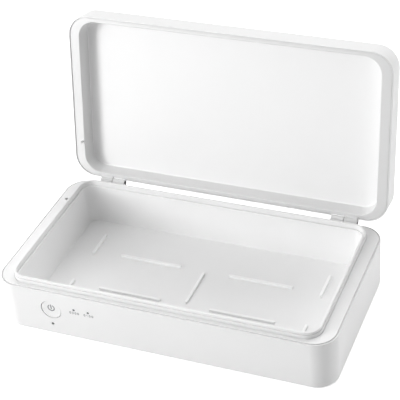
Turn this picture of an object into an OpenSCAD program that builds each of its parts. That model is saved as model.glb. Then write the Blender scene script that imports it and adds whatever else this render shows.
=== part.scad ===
// Sanitizer box for phones: a shallow tray with a hinged lid, a power button and UV lamps.
// Frame: origin in the middle of the base's flat underside. The feet stand out below it.
// +X along the length, +Y towards the hinge, +Z up. The lid is drawn open, as it rests.

/* [Body] */
// Length of the box
body_l = 220; // [205:1:260]
// Width of the box, front to hinge side
body_w = 114.2; // [110:0.2:130]
// Height of the base, underside to parting line
base_h = 34; // [33:0.5:42]
// Height of the lid above the parting line
lid_h = 19.1; // [18.5:0.1:24]
// Radius of the upright corners
corner_r = 14.4; // [13:0.1:16]
// Thickness of the outer walls
wall = 2.4; // [2.2:0.1:2.6]
// How much the base narrows towards its foot, each side
draft = 0.8; // [0.2:0.1:1]
// Gap between the rims when the lid is shut
rim_gap = 0.4; // [0.3:0.1:0.6]

/* [Rim] */
// Width of the outer rim outside the groove
rim_w = 1.1; // [1:0.1:1.3]
// Width of the groove in both rims
groove_w = 0.45; // [0.3:0.05:0.5]
// Thickness of the ledge between the rim and the lip
ledge_t = 1.8; // [1.4:0.1:2]
// Height of the lip above the ledge
lip_h = 4.5; // [3:0.1:5]
// Thickness of the lip
lip_t = 1.8; // [1.6:0.1:1.9]
// Distance of the lip from the ends of the box
lip_end = 9.5; // [9.2:0.1:10]
// Distance of the lip from the front and the back
lip_side = 4.2; // [4.1:0.1:4.4]

/* [Tub] */
// Room between the bottom cover and the tub
tub_room = 3.2; // [2.8:0.1:5]
// Thickness of the tub walls
tub_wall = 1.2; // [1:0.1:1.3]
// How much the tub narrows towards its floor, each side
tub_draft = 1.2; // [1:0.1:1.6]
// Distance of the long ribs from the middle line
rib_row = 17; // [12:0.5:24]
// Gap between a pair of long ribs in one row
rib_gap = 35; // [25:0.5:45]
// Distance of the short ribs from the end walls
rib_end = 17.1; // [12:0.1:24]
// Distance of the short ribs from the front and back walls
rib_side = 15.3; // [12:0.1:20]
// Height of the ribs on the tub floor
rib_h = 1.6; // [1:0.1:2]
// Width of the ribs on the tub floor
rib_w = 1.8; // [1.4:0.1:2.4]

/* [Lid] */
// How far the lid opens, in degrees
open_angle = 101; // [95:1:104]
// Depth of the hollow in the lid
cavity_depth = 10.8; // [9.5:0.1:12.5]
// Radius of the lid's top edge
lid_edge_r = 4; // [3:0.1:4.5]

/* [Hinges] */
// Distance of the hinge line behind the back wall
hinge_back = 1.9; // [1.8:0.1:2.2]
// Radius of the hinge barrels
barrel_r = 2.5; // [2.4:0.1:2.6]
// Radius of the hinge pins
pin_r = 1; // [0.9:0.05:1.1]
// Distance of each pin's outer end from the end of the box
hinge_end = 19.3; // [16:0.1:30]
// Length of one hinge barrel
barrel_l = 8.6; // [7:0.1:9]

/* [Front] */
// Distance of the power button from the left end
button_end = 38.1; // [36:0.1:42]
// Height of the power button above the underside
button_z = 19.35; // [19:0.05:20]
// Radius of the power button
button_r = 7.25; // [6.5:0.05:7.5]
// Travel of the power button
button_travel = 0.5; // [0.3:0.05:0.5]
// Distance of the first indicator lamp from the button, centre to centre
lamp_first = 16.5; // [14:0.1:18]
// Distance between the two indicator lamps
lamp_pitch = 9.7; // [7:0.1:12]
// Height of the indicator lamps above the underside
lamp_z = 23.4; // [22:0.1:24]
// Radius of the indicator lamps
lamp_r = 0.8; // [0.6:0.05:1]
// Height of the sound hole above the underside
sound_z = 8.1; // [7.8:0.1:8.4]
// Radius of the sound hole
sound_r = 0.75; // [0.5:0.05:1]

/* [Interlock] */
// Distance of the peg from the left end
peg_end = 6.1; // [5.9:0.1:6.4]
// Distance of the peg in front of the hinge line
peg_front = 26.4; // [24:0.1:28]
// Radius of the peg under the lid
peg_r = 0.8; // [0.7:0.05:0.9]
// Length of the peg
peg_l = 3; // [2.8:0.1:3.2]
// Radius of the hole in the ledge
peg_hole_r = 1.25; // [1.2:0.05:1.4]
// Travel of the plunger under the hole
plunger_travel = 1.2; // [1:0.05:1.2]

/* [Feet and screws] */
// How far the feet stand out below the base
foot_h = 1; // [0.8:0.1:1.5]
// Radius of the feet
foot_r = 5; // [4:0.1:6]
// Radius of the screw shanks
screw_r = 1.3; // [1.1:0.05:1.4]

/* [Hidden] */
$fn = 64;

eps = 0.01;          // thickness of the sheets that a hull stretches between
cut = 1;             // how far a cutting tool runs past a face
fit = 0.05;          // play between parts that are pressed together
hull_fn = 32;        // sides of the circles inside a hull

// Levels and half sizes of the shell
half_l = body_l / 2;
half_w = body_w / 2;
under_z = 0;
top_z = base_h;
ledge_z = top_z - ledge_t;
rim_z = top_z + rim_gap;
roof_z = top_z + lid_h;
inset_end = rim_w + groove_w;

// Lip, tub and lid hollow
lip_x = half_l - lip_end;
lip_y = half_w - lip_side;
lip_r = corner_r - lip_side - 0.4;
lip_step_h = 3;      // height of the lip's thicker foot
lip_step = 0.25;     // how much the lip's top is set back outside
rim_step = 1.1;      // how far the tub's rim shows inside the lip
tub_x = lip_x - lip_t - rim_step;
tub_y = lip_y - lip_t - rim_step;
tub_r = lip_r - lip_t - rim_step;
tongue_t = 0.7;      // thickness of the tub's upper rim
tongue_h = 1.05;     // height of the tub's rim above the parting line
cover_t = 2.2;
cover_z = under_z + cover_t;
floor_t = tub_wall;
floor_z = cover_z + tub_room + floor_t;
tub_depth = top_z - floor_z;
floor_x = tub_x - tub_draft;
floor_y = tub_y - tub_draft;
cavity_x = lip_x + 1.8;
cavity_y = lip_y + 0.55;
cavity_r = corner_r - 2.9;
cavity_z = rim_z + cavity_depth;
cavity_draft = 0.6;  // how much the lid hollow narrows towards its ceiling
cavity_bend = 1;     // radius between the hollow's walls and its ceiling
flange_t = 1.6;      // thickness of the lid liner's flange
panel_t = 1.2;       // thickness of the lid liner's walls and ceiling

// Hinges
axis_y = half_w + hinge_back;
axis_z = top_z + 0.15;
hinge_gap = 0.3;     // play beside the barrels
sweep = 0.4;         // play around the barrels
hinge_out = half_l - hinge_end;
outer_in = hinge_out - barrel_l;
hinge_in = outer_in - hinge_gap - barrel_l;
notch_in = hinge_in - hinge_gap;
notch_l = hinge_out + hinge_gap - notch_in;
pin_play = 0.06;
pin_sink = 1.5;      // how deep each pin's inner end lies in its barrel
lid_slope = 0.2;     // how much the lid's walls lean in
heel_l = 4.6;        // reach of the stop heel from the hinge line
heel_gap = 0.2;      // room left between the heel and the back wall
heel_side = 0.5;     // how much narrower the heel is than its barrel, each side

// Bottom cover, feet and screws
cover_gap = 0.2;
pad_t = 2;           // height of the rings on the cover that meet the screw posts
pad_r = 2.6;
post_r = 3.6;
post_x = half_l - 6.4;
post_y = half_w - 11.1;
ear_t = 1.6;
ear_z = ledge_z - 13;
head_r = 2.4;
head_t = 1.5;
head_sink = 1.7;
hole_play = 0.2;
screw_bite = 7;      // length of shank in the top frame's post
foot_x = half_l - 22;
foot_y = half_w - 15;
foot_sink = 0.6;

// Front openings
button_x = half_l - button_end;
lamp_x = [button_x - lamp_first, button_x - lamp_first - lamp_pitch];

// Boards
board_t = 1.2;
board_x = half_l - 9.2;      // outer face of the main board
board_y0 = 33.1 - half_w;
board_y1 = half_w - 17.1;
board_z0 = cover_z + 0.8;
board_z1 = ledge_z - 1.8;
rail_t = 1;
pocket_y = half_w - 1.65;    // inner face of the thinned front wall
pocket_x0 = button_x + 13;
pocket_x1 = lamp_x[1] - 5.7;
panel_board_y = half_w - 4.1; // front face of the control board
panel_board_t = 0.8;
panel_z0 = under_z + 4;
panel_z1 = under_z + lamp_z + 2.1;
peg_x = half_l - peg_end;
peg_y = axis_y - peg_front;
plunger_r = peg_hole_r - 0.08;
plunger_z = rim_z - peg_l + plunger_travel - 0.3;
guide_z = ledge_z - 4.9;
chip_z = board_z0 + 11;
uv_z = under_z + 19;
uv_pitch = 22;
uv_end = 10;                 // length of the UV board beyond the outer lamps
usb_y = 5;
usb_z = under_z + 11;
usb_w = 8.94;
usb_t = 3.2;

// How far the drafted outer wall stands in from the parting line's outline at a height
function inset(z) = draft * (top_z - z) / base_h;

module rounded(hx, hy, r) {
  square([2 * (hx - r), 2 * hy], center = true);
  square([2 * hx, 2 * (hy - r)], center = true);
  for (sx = [-1, 1], sy = [-1, 1]) translate([sx * (hx - r), sy * (hy - r)]) circle(r);
}

module plate(hx, hy, r, z0, z1) {
  translate([0, 0, z0]) linear_extrude(z1 - z0) rounded(hx, hy, r);
}

module box(x0, x1, y0, y1, z0, z1) {
  translate([x0, y0, z0]) cube([x1 - x0, y1 - y0, z1 - z0]);
}

// Block whose outline is inset by in0 at z0 and by in1 at z1
module drafted(hx, hy, r, z0, in0, z1, in1) {
  hull() {
    plate(hx - in0, hy - in0, r - in0, z0, z0 + eps, $fn = hull_fn);
    plate(hx - in1, hy - in1, r - in1, z1 - eps, z1, $fn = hull_fn);
  }
}

// Block with drafted walls and a rounded far edge of radius e
module domed(hx, hy, r, z0, z1, slope, e) {
  hull() {
    plate(hx, hy, r, z0, z0 + eps, $fn = hull_fn);
    for (a = [0 : 18 : 90])
      plate(hx - slope - e * (1 - cos(a)), hy - slope - e * (1 - cos(a)), r - slope - e * (1 - cos(a)) * 0.9,
            z1 - e + e * sin(a) - eps, z1 - e + e * sin(a), $fn = hull_fn);
  }
}

module at_posts() {
  for (sx = [-1, 1], sy = [-1, 1]) translate([sx * post_x, sy * post_y, 0]) children();
}

module rod(x0, x1, r) {
  translate([x0, 0, 0]) rotate([0, 90, 0]) cylinder(h = x1 - x0, r = r);
}

// Cylinder that runs from y0 to y1 at a place on the front wall
module front_rod(x, z, y0, y1, r) {
  translate([x, y0, z]) rotate([-90, 0, 0]) cylinder(h = y1 - y0, r = r);
}

// A rounded bar on the tub floor
module rib(x, y, dx, dy) {
  translate([x, y, floor_z - fit]) linear_extrude(rib_h + fit) {
    square([max(2 * dx, rib_w), max(2 * dy, rib_w)], center = true);
    for (s = [-1, 1]) translate([s * dx, s * dy]) circle(rib_w / 2);
  }
}

// Turns the lid from shut to its open rest, and a shape of the open lid back to shut
module opened() {
  translate([0, axis_y, axis_z]) rotate([-open_angle, 0, 0]) translate([0, -axis_y, -axis_z]) children();
}
module shut() {
  translate([0, axis_y, axis_z]) rotate([open_angle, 0, 0]) translate([0, -axis_y, -axis_z]) children();
}

// ---- Base ----

module base_shell() {
  color("white") difference() {
    union() {
      difference() {
        drafted(half_l, half_w, corner_r, under_z, draft, top_z, 0);
        drafted(half_l - wall, half_w - wall, corner_r - wall, under_z - cut, inset(under_z - cut),
                top_z + cut, inset(top_z + cut));
        plate(half_l - rim_w, half_w - rim_w, corner_r - rim_w, ledge_z, top_z + cut);
        box(-pocket_x0, -pocket_x1, -pocket_y, 0, cover_z + cover_gap, panel_z1 + 3);
      }
      at_posts() translate([0, 0, cover_z + pad_t]) cylinder(h = ear_z - cover_z - pad_t, r = post_r);
      for (x = [button_x + 10, lamp_x[1] - 2.7])
        front_rod(-x, panel_z0 + 3, -pocket_y - fit, -panel_board_y, 1.2);
    }
    at_posts() cylinder(h = top_z, r = screw_r + hole_play);
    for (s = [-1, 1]) {
      x0 = min(s * notch_in, s * (notch_in + notch_l));
      box(x0, x0 + notch_l, half_w - rim_w, half_w + cut, axis_z - barrel_r - sweep, top_z + cut);
    }
    front_rod(-button_x, under_z + button_z, -half_w - cut, -half_w + wall + cut, button_r + 0.3);
    for (x = lamp_x) front_rod(-x, under_z + lamp_z, -half_w - cut, -half_w + wall + cut, lamp_r);
    front_rod(-button_x, under_z + sound_z, -half_w - cut, -half_w + wall + cut, sound_r);
    box(-half_l - cut, -half_l + wall + cut, usb_y - usb_w / 2 - 0.3, usb_y + usb_w / 2 + 0.3,
        usb_z - usb_t / 2 - 0.3, usb_z + usb_t / 2 + 0.3);
  }
}

module bottom_cover() {
  in = draft + wall + cover_gap;
  rail_y = uv_pitch + uv_end - 8;
  color("whitesmoke") difference() {
    union() {
      plate(half_l - in, half_w - in, corner_r - in, under_z, cover_z);
      at_posts() translate([0, 0, under_z]) cylinder(h = cover_t + pad_t, r = pad_r);
      for (y = [board_y0, board_y1 - 6]) difference() {
        box(-board_x - rail_t, -board_x + board_t + rail_t, y, y + 6, cover_z - fit, cover_z + 4);
        box(-board_x, -board_x + board_t, y - cut, y + 6 + cut, board_z0, cover_z + 4 + cut);
      }
      for (s = [-1, 1]) difference() {
        box(board_x - 1.2, board_x + 1.6, s * rail_y - 3, s * rail_y + 3, cover_z - fit, uv_z - 4);
        box(board_x - 0.4, board_x + 0.8, s * rail_y - 3 - cut, s * rail_y + 3 + cut, uv_z - 7, uv_z);
      }
    }
    at_posts() cylinder(h = top_z, r = screw_r + hole_play);
    at_posts() translate([0, 0, under_z - cut]) cylinder(h = cut + head_sink, r = head_r + hole_play);
    for (sx = [-1, 1], sy = [-1, 1])
      translate([sx * foot_x, sy * foot_y, under_z - cut]) cylinder(h = cut + foot_sink, r = foot_r);
  }
}

module rubber_feet() {
  color("dimgray") for (sx = [-1, 1], sy = [-1, 1]) translate([sx * foot_x, sy * foot_y, under_z - foot_h]) {
    cylinder(h = 0.5, r1 = foot_r - 0.5, r2 = foot_r);
    translate([0, 0, 0.5]) cylinder(h = foot_h + foot_sink - 0.5, r = foot_r);
  }
}

module cover_screws() {
  seat = under_z + head_sink;
  color("silver") at_posts() difference() {
    union() {
      translate([0, 0, seat - head_t]) cylinder(h = head_t, r = head_r);
      translate([0, 0, seat - fit]) cylinder(h = ear_z + ear_t + screw_bite - seat, r = screw_r);
    }
    for (a = [0, 90]) rotate(a) translate([-1.5, -0.3, seat - head_t - cut]) cube([3, 0.6, cut + 0.8]);
  }
}

module base_knuckle(s) {
  x0 = min(s * hinge_in, s * (hinge_in + barrel_l));
  translate([0, axis_y, axis_z]) rod(x0, x0 + barrel_l, barrel_r);
  box(x0, x0 + barrel_l, half_w - inset_end - 1, axis_y, ledge_z, top_z);
}

module top_frame() {
  color("white") difference() {
    union() {
      plate(half_l - inset_end, half_w - inset_end, corner_r - inset_end, ledge_z, top_z);
      plate(lip_x, lip_y, lip_r, top_z - fit, top_z + lip_step_h);
      plate(lip_x - lip_step, lip_y - lip_step, lip_r - lip_step, top_z + lip_step_h - fit, top_z + lip_h);
      at_posts() translate([0, 0, ear_z + ear_t]) cylinder(h = ledge_z - ear_z - ear_t + fit, r = 3);
      translate([-peg_x, peg_y, guide_z]) cylinder(h = ledge_z - guide_z + fit, r = peg_hole_r + 0.9);
      for (s = [-1, 1]) base_knuckle(s);
    }
    plate(lip_x - lip_t, lip_y - lip_t, lip_r - lip_t, top_z, top_z + lip_h + cut);
    plate(tub_x + tongue_t + fit, tub_y + tongue_t + fit, tub_r + tongue_t, ledge_z - cut,
          top_z + tongue_h + fit);
    translate([-peg_x, peg_y, guide_z - cut]) cylinder(h = top_z, r = peg_hole_r);
    at_posts() translate([0, 0, ear_z]) cylinder(h = ear_t + screw_bite + 1, r = screw_r);
    translate([0, axis_y, axis_z]) for (s = [-1, 1])
      rod(min(s * (hinge_in - cut), s * (hinge_out + cut)), max(s * (hinge_in - cut), s * (hinge_out + cut)), pin_r);
  }
}

module tub_liner() {
  top_in = tub_draft * (1 - (tub_depth + tongue_h) / tub_depth);
  under_in = tub_draft * (tub_depth + floor_t) / tub_depth;
  shoulder_in = tub_draft * ledge_t / tub_depth;
  color("white") difference() {
    union() {
      drafted(tub_x + tub_wall, tub_y + tub_wall, tub_r + tub_wall, floor_z - floor_t, under_in,
              ledge_z, shoulder_in);
      plate(tub_x + tongue_t, tub_y + tongue_t, tub_r + tongue_t, ledge_z - cut, top_z + tongue_h);
      for (sx = [-1, 1], sy = [-1, 1]) translate([sx * post_x, sy * post_y, ear_z]) {
        cylinder(h = ear_t, r = 3);
        translate([sx > 0 ? -14 : 0, sy > 0 ? -6 : 2, 0]) cube([14, 4, ear_t]);
      }
    }
    drafted(tub_x, tub_y, tub_r, floor_z, tub_draft, top_z + tongue_h + fit, top_in);
    at_posts() cylinder(h = top_z, r = screw_r + hole_play);
    for (i = [-1 : 1]) translate([0, i * uv_pitch, uv_z]) rod(tub_x - 3, tub_x + 3, 2.2);
  }
  short_x = floor_x - rib_end;
  short_y = [rib_row - 2.5, floor_y - rib_side];
  long_x = [rib_gap / 2, short_x - 20.3];
  color("white") for (s = [-1, 1], t = [-1, 1]) {
    rib(t * (long_x[0] + long_x[1]) / 2, s * rib_row, (long_x[1] - long_x[0]) / 2, 0);
    rib(t * short_x, s * (short_y[0] + short_y[1]) / 2, 0, (short_y[1] - short_y[0]) / 2);
  }
  color("white") rib(0, 0, 0, rib_row - 3);
}

module hinge_pin(s) {
  color("silver") translate([0, axis_y, axis_z])
    rod(min(s * (hinge_in + pin_sink), s * (hinge_out - 0.2)), max(s * (hinge_in + pin_sink), s * (hinge_out - 0.2)),
        pin_r);
}

// ---- Electronics ----

module main_board() {
  color("darkgreen") box(-board_x, -board_x + board_t, board_y0, board_y1, board_z0, board_z1);
}

module controller_chip() {
  y0 = board_y0 + 5;
  color("black") box(-board_x - 1.6, -board_x, y0, y0 + 10, chip_z, chip_z + 10);
  color("silver") for (y = [y0 + 1 : 2 : y0 + 9]) {
    box(-board_x - 0.6, -board_x, y - 0.35, y + 0.35, chip_z - 1.2, chip_z);
    box(-board_x - 0.6, -board_x, y - 0.35, y + 0.35, chip_z + 10, chip_z + 11.2);
  }
}

module power_capacitors() {
  color("navy") for (y = [usb_y + 10, usb_y + 16.5])
    translate([-board_x - 2.4, y, chip_z - 1]) cylinder(h = 10, r = 2.4);
}

module usb_inlet() {
  mouth = half_l - inset(usb_z) - 0.5;
  color("silver") difference() {
    box(-mouth, -board_x, usb_y - usb_w / 2, usb_y + usb_w / 2, usb_z - usb_t / 2, usb_z + usb_t / 2);
    box(-mouth - cut, -board_x - 1, usb_y - usb_w / 2 + 0.3, usb_y + usb_w / 2 - 0.3,
        usb_z - usb_t / 2 + 0.3, usb_z + usb_t / 2 - 0.3);
  }
  color("black") box(-mouth + 1, -board_x - 0.9, usb_y - 3.35, usb_y + 3.35, usb_z - 0.35, usb_z + 0.35);
}

module interlock_switch() {
  color("black") difference() {
    box(-peg_x - 2, -board_x, peg_y - 3, peg_y + 3, guide_z - 8.5, guide_z - 3);
    translate([-peg_x, peg_y, guide_z - 7.5]) cylinder(h = 10, r = 1.06);
  }
}

module interlock_plunger() {
  color("white") translate([-peg_x, peg_y, 0]) {
    translate([0, 0, guide_z - 1.3]) cylinder(h = plunger_z - guide_z + 1.3, r = plunger_r);
    translate([0, 0, guide_z - 1.3]) cylinder(h = 1, r = peg_hole_r + 0.5);
    translate([0, 0, guide_z - 5.8]) cylinder(h = 5, r = 1);
  }
}

module control_board() {
  color("darkgreen")
    box(-pocket_x0 + 1, -pocket_x1 - 1, -panel_board_y, -panel_board_y + panel_board_t, panel_z0, panel_z1);
}

// Flat cable on the bottom cover, from the main board to the control board
module control_cable() {
  x0 = -board_x + board_t;
  y0 = board_y0 + 10;
  x1 = -lamp_x[0] - 4;
  y1 = -panel_board_y + panel_board_t;
  turn = atan2(y1 + 2.5 - y0, x1 - x0 - 2);
  run = norm([x1 - x0 - 2, y1 + 2.5 - y0]);
  color("gray") {
    box(x0, x0 + 0.5, y0 - 3, y0 + 3, cover_z + 0.5, cover_z + 7);
    box(x0, x0 + 4, y0 - 3, y0 + 3, cover_z + 0.5, cover_z + 1);
    translate([x0 + 2, y0, cover_z + 0.5]) rotate(turn) translate([0, -2.5, 0]) cube([run, 5, 0.5]);
    box(x1 - 3, x1 + 3, y1, y1 + 3.5, cover_z + 0.5, cover_z + 1);
    box(x1 - 3, x1 + 3, y1, y1 + 0.4, cover_z + 0.5, cover_z + 4);
  }
}

module tact_switch() {
  color("black") difference() {
    translate([-button_x - 2.6, -panel_board_y - 0.9, under_z + button_z - 2.6]) cube([5.2, 0.9, 5.2]);
    front_rod(-button_x, under_z + button_z, -panel_board_y - cut, -panel_board_y + cut, 1.3);
  }
}

module power_button() {
  face_y = half_w - inset(under_z + button_z) + 0.1;
  back_y = pocket_y - 0.7;
  color("white") {
    front_rod(-button_x, under_z + button_z, -face_y, -back_y, button_r);
    front_rod(-button_x, under_z + button_z, -pocket_y + 0.3, -back_y, button_r + 0.75);
  }
}

module switch_stem() {
  color("gray")
    front_rod(-button_x, under_z + button_z, -pocket_y + 0.7, -panel_board_y - button_travel - 0.1, 1.2);
}

module indicator_lens(x) {
  face_y = half_w - inset(under_z + lamp_z);
  color("lightblue") {
    front_rod(-x, under_z + lamp_z, -face_y, -pocket_y + 0.8, lamp_r);
    front_rod(-x, under_z + lamp_z, -pocket_y, -pocket_y + 0.8, lamp_r + 0.8);
  }
}

module indicator_leds() {
  color("white") for (x = lamp_x)
    box(-x - 0.8, -x + 0.8, -panel_board_y - 0.7, -panel_board_y, under_z + lamp_z - 0.5, under_z + lamp_z + 0.5);
}

module buzzer() {
  color("black") front_rod(-button_x, under_z + sound_z, -panel_board_y - 1.4, -panel_board_y, 3);
}

module uv_board() {
  color("darkgreen") box(board_x - 0.4, board_x + 0.8, -uv_pitch - uv_end, uv_pitch + uv_end, uv_z - 7, uv_z + 7);
}

module uv_leds() {
  color("gold") for (i = [-1 : 1])
    box(board_x - 1.3, board_x - 0.4, i * uv_pitch - 1.75, i * uv_pitch + 1.75, uv_z - 1.75, uv_z + 1.75);
}

module uv_windows() {
  in = tub_x - tub_draft * (top_z - uv_z) / tub_depth;
  color("lightblue") for (i = [-1 : 1]) translate([0, i * uv_pitch, uv_z]) rod(in + 0.2, in + 1.2, 2.2);
}

// Flat cable under the tub, from the main board to the UV board
module uv_cable() {
  x0 = -board_x + board_t;
  x1 = board_x + 0.8;
  color("gray") {
    box(x0, x0 + 0.5, -3, 3, cover_z + 0.5, cover_z + 7);
    box(x0, x1 + 0.5, -3, 3, cover_z + 0.5, cover_z + 1);
    box(x1, x1 + 0.5, -3, 3, cover_z + 0.5, uv_z - 2);
  }
}

// ---- Lid, drawn shut and then opened ----

module lid_shell() {
  inner_r = corner_r - wall;
  color("white") opened() difference() {
    union() {
      difference() {
        domed(half_l, half_w, corner_r, rim_z, roof_z, lid_slope, lid_edge_r);
        domed(half_l - wall, half_w - wall, inner_r, rim_z - cut, roof_z - wall, lid_slope, lid_edge_r - 2);
        plate(half_l - rim_w, half_w - rim_w, corner_r - rim_w, rim_z - cut, rim_z + flange_t);
      }
      for (sx = [-1, 1], sy = [-1, 1])
        translate([sx * (half_l - wall + 0.4) - 1, sy * 25 - 4, rim_z + 5]) cube([2, 8, 1.4]);
    }
    for (s = [-1, 1]) {
      x0 = min(s * notch_in, s * (notch_in + notch_l));
      box(x0, x0 + notch_l, half_w - rim_w - fit, half_w + cut, rim_z - cut, rim_z + flange_t);
      translate([0, axis_y, axis_z]) rod(x0, x0 + notch_l, barrel_r + sweep);
    }
  }
}

module lid_knuckle(s) {
  x0 = min(s * outer_in, s * hinge_out);
  translate([0, axis_y, axis_z]) rod(x0, x0 + barrel_l, barrel_r);
  box(x0, x0 + barrel_l, half_w - inset_end - 1, axis_y, rim_z, rim_z + flange_t);
  shut() box(x0 + heel_side, x0 + barrel_l - heel_side, half_w + heel_gap, axis_y + 0.8, axis_z - heel_l, axis_z);
}

module lid_liner() {
  color("white") opened() difference() {
    union() {
      plate(half_l - inset_end, half_w - inset_end, corner_r - inset_end, rim_z, rim_z + flange_t);
      domed(cavity_x + panel_t, cavity_y + panel_t, cavity_r + panel_t, rim_z, cavity_z + panel_t,
            cavity_draft, cavity_bend + panel_t);
      for (sx = [-1, 1], sy = [-1, 1]) translate([sx * (half_l - wall - 1.7), sy * 25 - 4, rim_z]) {
        translate([-0.7, 0, 0]) cube([1.4, 8, 8]);
        translate([sx > 0 ? 0 : -1.2, 0, 6.5]) cube([1.2, 8, 1.5]);
      }
      translate([-peg_x, peg_y, rim_z - peg_l]) {
        cylinder(h = 0.4, r1 = peg_r - 0.4, r2 = peg_r);
        translate([0, 0, 0.4]) cylinder(h = peg_l, r = peg_r);
      }
      for (s = [-1, 1]) lid_knuckle(s);
    }
    domed(cavity_x, cavity_y, cavity_r, rim_z - fit, cavity_z, cavity_draft, cavity_bend);
    translate([0, axis_y, axis_z]) for (s = [-1, 1])
      rod(min(s * (hinge_in - cut), s * (hinge_out + cut)), max(s * (hinge_in - cut), s * (hinge_out + cut)),
          pin_r + pin_play);
  }
}

base_shell();
bottom_cover();
rubber_feet();
cover_screws();
top_frame();
tub_liner();
hinge_pin(-1);  // hinge_pin_left
hinge_pin(1);  // hinge_pin_right
main_board();
controller_chip();
power_capacitors();
usb_inlet();
interlock_switch();
interlock_plunger();
control_board();
control_cable();
tact_switch();
power_button();
switch_stem();
indicator_lens(lamp_x[0]);  // indicator_lens_left
indicator_lens(lamp_x[1]);  // indicator_lens_right
indicator_leds();
buzzer();
uv_board();
uv_leds();
uv_windows();
uv_cable();
lid_shell();
lid_liner();
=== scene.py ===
"""Looks of the sanitizer box for phones: moulded white shells, tray, lid, button and lamps.

Lengths in the dataclasses are millimetres in the frame's own axes. They turn into metres when a
mesh is made.
"""

import logging
import math
from dataclasses import dataclass, field
from enum import Enum
from typing import Iterable, Sequence

import bmesh
import bpy
from mathutils import Matrix, Vector


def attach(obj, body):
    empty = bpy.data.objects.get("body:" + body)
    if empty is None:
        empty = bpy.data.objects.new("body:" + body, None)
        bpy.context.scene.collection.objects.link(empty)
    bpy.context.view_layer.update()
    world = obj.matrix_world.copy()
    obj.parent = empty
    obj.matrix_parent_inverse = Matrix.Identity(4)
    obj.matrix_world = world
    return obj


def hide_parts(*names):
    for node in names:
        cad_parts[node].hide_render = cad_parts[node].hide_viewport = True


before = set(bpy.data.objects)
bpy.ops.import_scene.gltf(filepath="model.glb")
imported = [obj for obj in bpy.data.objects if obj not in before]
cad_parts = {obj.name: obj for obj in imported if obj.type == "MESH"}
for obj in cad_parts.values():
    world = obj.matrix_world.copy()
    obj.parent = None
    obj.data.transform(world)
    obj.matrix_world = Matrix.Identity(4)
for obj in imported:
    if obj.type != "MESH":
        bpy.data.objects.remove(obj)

log = logging.getLogger("sanitizer_box")

MM = 0.001
LEAST_RADIUS = 0.01

# Segments round a hole and the button, and in the arcs of corners, edges and fillets.
HOLE_SIDES = 64
BUTTON_SIDES = 96
CORNER_STEPS = 20
TINY_STEPS = 2
EDGE_STEPS = 3
MOUTH_STEPS = 4
BEND_STEPS = 5
FILLET_STEPS = 8
ROOF_STEPS = 12

X_AXIS = Vector((1, 0, 0))
Y_AXIS = Vector((0, 1, 0))
Z_AXIS = Vector((0, 0, 1))

Point = tuple[float, float, float]
Part = tuple[list[Point], list[list[int]]]


class Body(Enum):
    """The moving bodies that a piece can ride on."""

    BASE = "base"
    LID = "lid"
    BUTTON = "power_button"


# ---- outlines and lofts ----


@dataclass(frozen=True)
class Outline:
    """A rounded rectangle, by its half sizes and corner radius."""

    half_x: float
    half_y: float
    radius: float

    def grown(self, out: float) -> "Outline":
        """The same outline moved outwards by out."""
        return Outline(self.half_x + out, self.half_y + out, self.radius + out)

    def ring(self, z: float, steps: int = CORNER_STEPS) -> list[Point]:
        """Points round the outline at a height, counter-clockwise from the right side.

        Args:
            z: Height of the ring.
            steps: Segments in each corner.

        Returns:
            The points, the same number for every outline.
        """
        points: list[Point] = []
        radius = max(self.radius, LEAST_RADIUS)
        corners = ((1, 1), (-1, 1), (-1, -1), (1, -1))
        for quarter, (sx, sy) in enumerate(corners):
            cx = sx * (self.half_x - radius)
            cy = sy * (self.half_y - radius)
            for i in range(steps + 1):
                angle = math.radians(90 * quarter + 90 * i / steps)
                points.append((cx + radius * math.cos(angle), cy + radius * math.sin(angle), z))
        return points


@dataclass
class Loft:
    """Rings of one point count, skinned in order into a tube or a solid with capped ends."""

    rings: list[list[Point]] = field(default_factory=list)

    def at(self, outline: Outline, out: float, z: float) -> "Loft":
        """Adds the outline, grown by out, at a height."""
        self.rings.append(outline.grown(out).ring(z))
        return self

    def bend(self, outline: Outline, centre: tuple[float, float], radius: float,
             start: float, end: float, steps: int = BEND_STEPS) -> "Loft":
        """Adds rings along an arc in the section.

        Args:
            outline: The outline that the arc's first coordinate grows.
            centre: The arc's centre, as (out, z).
            radius: The arc's radius.
            start: Start angle in degrees, 0 pointing outwards and 90 up.
            end: End angle in degrees.
            steps: Segments of the arc.

        Returns:
            The loft itself.
        """
        for i in range(steps + 1):
            angle = math.radians(start + (end - start) * i / steps)
            self.at(outline, centre[0] + radius * math.cos(angle),
                    centre[1] + radius * math.sin(angle))
        return self

    def tube(self) -> Part:
        """Skins the rings and joins the last to the first."""
        return self._skin(closed=True)

    def solid(self) -> Part:
        """Skins the rings and caps the first and the last."""
        return self._skin(closed=False)

    def _skin(self, closed: bool) -> Part:
        """Skins the rings.

        Args:
            closed: Whether the last ring joins the first, instead of caps on both.

        Returns:
            The points and faces.
        """
        count = len(self.rings[0])
        points = [p for ring in self.rings for p in ring]
        faces = bands(count, len(self.rings) - 1)
        last = (len(self.rings) - 1) * count
        if closed:
            faces += [[last + i, last + (i + 1) % count, (i + 1) % count, i] for i in range(count)]
        else:
            faces += caps(count, last)
        return points, faces


def bands(count: int, spans: int) -> list[list[int]]:
    """Faces between rings that follow each other.

    Args:
        count: Points in each ring.
        spans: Bands of faces, one less than the rings.

    Returns:
        The faces.
    """
    faces = []
    for k in range(spans):
        a, b = k * count, (k + 1) * count
        for i in range(count):
            j = (i + 1) % count
            faces.append([a + i, a + j, b + j, b + i])
    return faces


def caps(count: int, last: int) -> list[list[int]]:
    """Faces that close the first ring and the one that starts at last."""
    return [list(reversed(range(count))), [last + i for i in range(count)]]


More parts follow.
